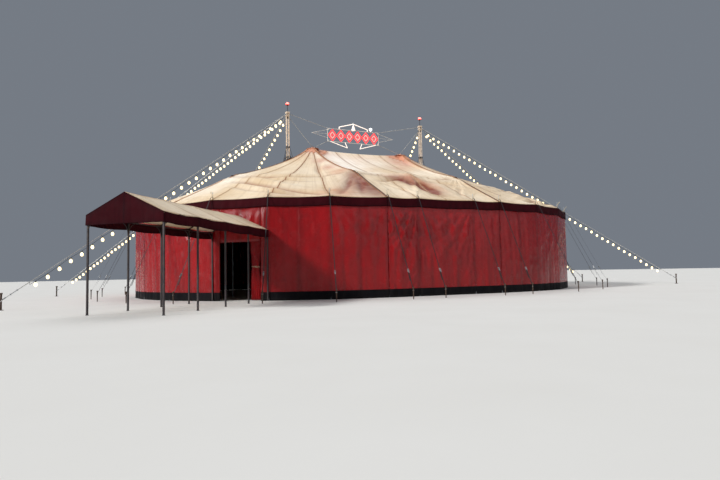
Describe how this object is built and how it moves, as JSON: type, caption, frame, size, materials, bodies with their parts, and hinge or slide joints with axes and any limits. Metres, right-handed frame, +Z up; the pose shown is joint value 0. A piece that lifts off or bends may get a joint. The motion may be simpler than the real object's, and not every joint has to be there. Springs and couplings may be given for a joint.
{
  "type": "circus big top tent",
  "caption": "Two-mast circus tent with a cream canvas roof, red walls, guyed lattice masts and a gabled entrance canopy; a plain lit frame hangs between the masts.",
  "frame": {"origin": "middle of the whole tent's footprint, guys and canopy included, on the ground", "axes": "+X along the line of the two masts, +Y away from the entrance side, +Z up"},
  "size_m": [36.5652, 31.0026, 10.9805],
  "materials": {
    "canvas_cream": "coated cream canvas, satin",
    "canvas_red": "coated deep red canvas, glossy",
    "canvas_maroon": "matt maroon canvas",
    "mast_paint": "pale grey paint on steel",
    "pole_steel": "dull galvanised steel",
    "rope_steel": "steel wire rope",
    "frame_white": "white paint on steel tube",
    "lamp_red": "clear red lens",
    "tube_red": "lit red tube"
  },
  "bodies": {
    "root": {"roof_left_end": "canvas_cream", "roof_right_end": "canvas_cream", "roof_middle_front": "canvas_cream", "roof_middle_back": "canvas_cream", "awning_roof": "canvas_cream", "wall_left_front": "canvas_red", "wall_over_doorway": "canvas_red", "wall_left_side": "canvas_red", "wall_left_end": "canvas_red", "wall_left_back": "canvas_red", "wall_right_front": "canvas_red", "wall_right_side": "canvas_red", "wall_right_back": "canvas_red", "wall_middle_front": "canvas_red", "wall_middle_back": "canvas_red", "door_curtain": "canvas_red", "awning_gable": "canvas_maroon", "mast_left": "mast_paint", "mast_right": "mast_paint", "poles_left_front": "pole_steel", "poles_left_side": "pole_steel", "poles_left_back": "pole_steel", "poles_middle_back": "pole_steel", "poles_right_back": "pole_steel", "poles_right_side": "pole_steel", "poles_right_front": "pole_steel", "poles_middle_front": "pole_steel", "quarter_poles_left": "pole_steel", "quarter_poles_right": "pole_steel", "awning_frame_left": "pole_steel", "awning_frame_right": "pole_steel", "awning_rafters": "pole_steel", "mast_guy_left_front": "rope_steel", "mast_guy_left_side": "rope_steel", "mast_guy_left_back": "rope_steel", "mast_guy_right_front": "rope_steel", "mast_guy_right_side": "rope_steel", "mast_guy_right_back": "rope_steel", "peak_hoist_left": "rope_steel", "peak_hoist_right": "rope_steel", "sign_frame": "frame_white", "sign_spotlight": "frame_white", "beacon_left": "lamp_red", "beacon_right": "lamp_red", "sign_tubes": "tube_red"}
  },
  "joints": []
}
